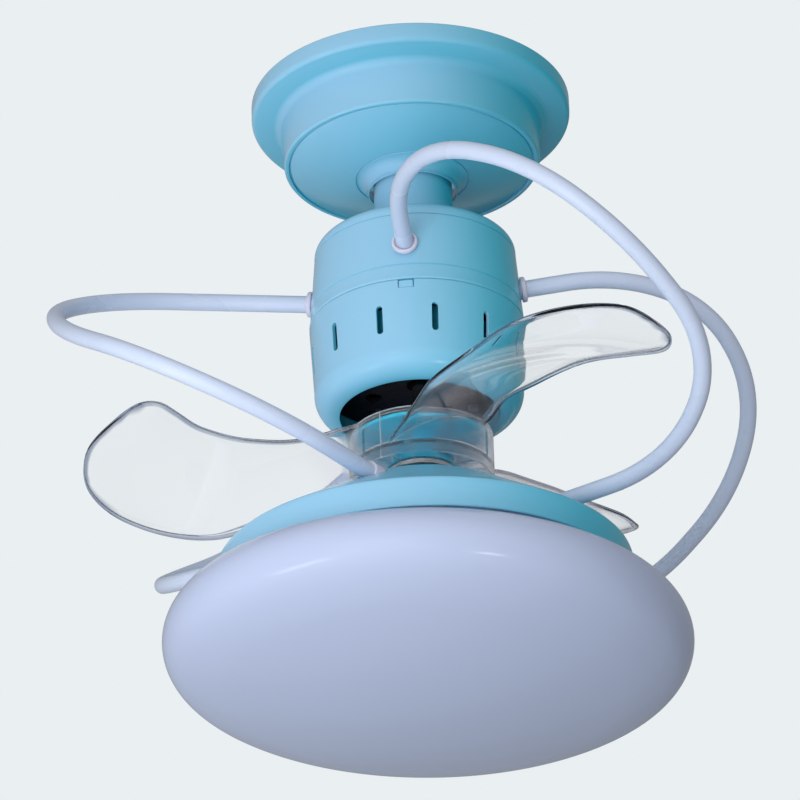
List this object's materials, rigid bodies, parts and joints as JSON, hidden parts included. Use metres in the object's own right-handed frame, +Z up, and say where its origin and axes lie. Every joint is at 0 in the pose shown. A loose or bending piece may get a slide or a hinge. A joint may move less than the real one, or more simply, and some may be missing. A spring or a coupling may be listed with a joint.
{
  "type": "compact ceiling fan with lamp",
  "caption": "Compact ceiling fan with clear blades in a ring of bent tubes that carry a round opal lamp below the motor.",
  "frame": {"origin": "centre of the bracket's ceiling face, on the fan's axis", "axes": "+Z up into the ceiling along the rotor's axis; the first bent tube leaves the motor towards -Y"},
  "size_m": [0.4726, 0.475, 0.476],
  "materials": {
    "blue_shell": "satin pale sky-blue paint on moulded shells",
    "white_tube": "smooth white enamel",
    "white_plastic": "white moulded plastic with a faint warm tint",
    "black_plastic": "black moulded plastic",
    "clear_blade": "clear moulded plastic, grey at the thick edges",
    "opal_dome": "opal white, softly glossy",
    "bulb_cover": "frosted white",
    "zinc_steel": "zinc-plated steel",
    "bearing_steel": "ground bright steel",
    "lamination_steel": "stacked dark laminations",
    "dark_case": "black paint on the cast motor case",
    "copper_wire": "enamelled copper windings"
  },
  "bodies": {
    "fan_frame": {"ceiling_bracket": "zinc_steel", "flange_bolts": "zinc_steel", "flange_nuts": "zinc_steel", "downrod": "zinc_steel", "canopy_springs": "zinc_steel", "terminal_block": "white_plastic", "capacitor": "black_plastic", "neck_sleeve": "blue_shell", "upper_housing": "blue_shell", "lower_housing": "blue_shell", "rod_locknut": "zinc_steel", "upper_end_bell": "dark_case", "lower_end_bell": "dark_case", "stator_core": "lamination_steel", "stator_winding": "copper_wire", "motor_screws": "zinc_steel", "upper_bearing": "bearing_steel", "lower_bearing": "bearing_steel", "stay_front": "white_tube", "stay_right": "white_tube", "stay_back": "white_tube", "stay_left": "white_tube", "upper_ferrules": "white_plastic", "lower_ferrules": "white_plastic", "lamp_pan": "blue_shell", "socket_strap": "zinc_steel", "socket_a": "white_plastic", "socket_b": "white_plastic", "bulb_a": "bulb_cover", "bulb_b": "bulb_cover", "dome_catches": "zinc_steel"},
    "canopy_cover": {"canopy": "blue_shell"},
    "rotor": {"rotor_core": "lamination_steel", "shaft": "bearing_steel", "hub_driver": "blue_shell", "blade_1": "clear_blade", "blade_2": "clear_blade", "blade_3": "clear_blade", "hub_clamp": "zinc_steel", "hub_screws": "zinc_steel", "hub_nut": "zinc_steel"},
    "dome_shade": {"dome": "opal_dome"}
  },
  "joints": [
    {"name": "rotor_spin", "type": "hinge", "parent": "fan_frame", "child": "rotor", "pos_m": [0, 0, -0.283], "axis": [0, 0, 1], "continuous": true},
    {"name": "canopy_drop", "type": "slide", "parent": "fan_frame", "child": "canopy_cover", "axis": [0, 0, 1], "range_m": [-0.038, 0]},
    {"name": "dome_turn", "type": "hinge", "parent": "fan_frame", "child": "dome_shade", "pos_m": [0, 0, -0.42], "axis": [0, 0, 1], "range_deg": [0, 24]}
  ]
}
